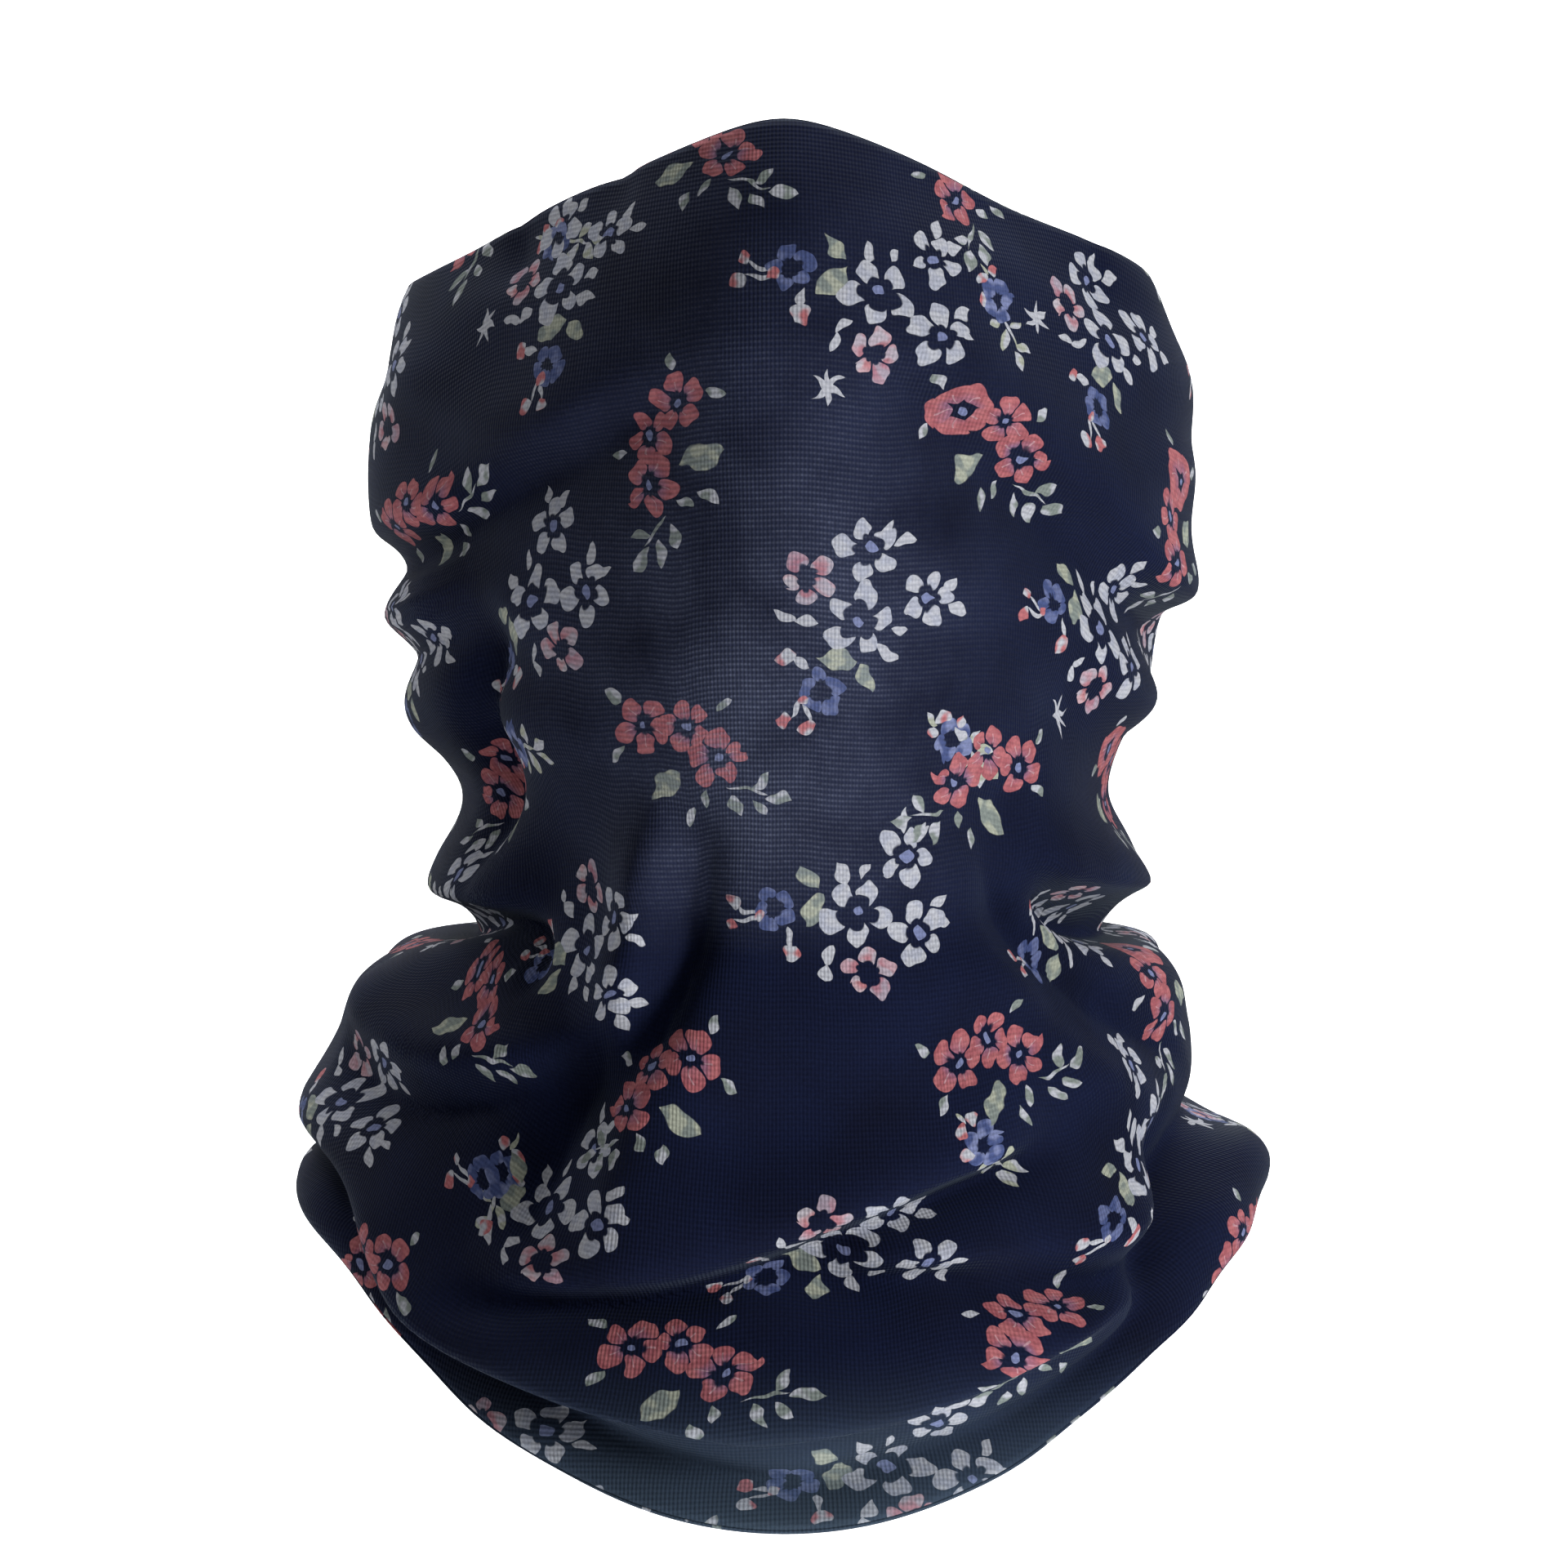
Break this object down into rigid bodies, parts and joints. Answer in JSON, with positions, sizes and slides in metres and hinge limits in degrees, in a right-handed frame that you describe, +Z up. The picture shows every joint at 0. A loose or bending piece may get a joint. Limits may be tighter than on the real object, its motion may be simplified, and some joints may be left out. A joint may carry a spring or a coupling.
{
  "type": "neck gaiter",
  "caption": "Stretch-knit neck gaiter shown as worn: a printed tube from the bridge of the nose, gathered round the neck and spread over the collar.",
  "frame": {"origin": "middle of the neck passage, on the level where the cloth is drawn in at the neck", "axes": "+Z up along the neck passage, -Y towards the front of the face, +X to the right as seen from the front"},
  "size_m": [0.1962, 0.202, 0.269],
  "materials": {
    "printed_jersey": "matte knit with a small floral print",
    "jersey_reverse": "matte unprinted reverse of the knit",
    "overlock_thread": "matte thread",
    "label_ribbon": "satin ribbon"
  },
  "bodies": {
    "root": {"tube_panel": "printed_jersey", "top_hem": "jersey_reverse", "bottom_hem": "jersey_reverse", "back_seam_allowance": "jersey_reverse", "top_hem_thread": "overlock_thread", "bottom_hem_thread": "overlock_thread", "back_seam_thread": "overlock_thread", "care_label": "label_ribbon"}
  },
  "joints": []
}
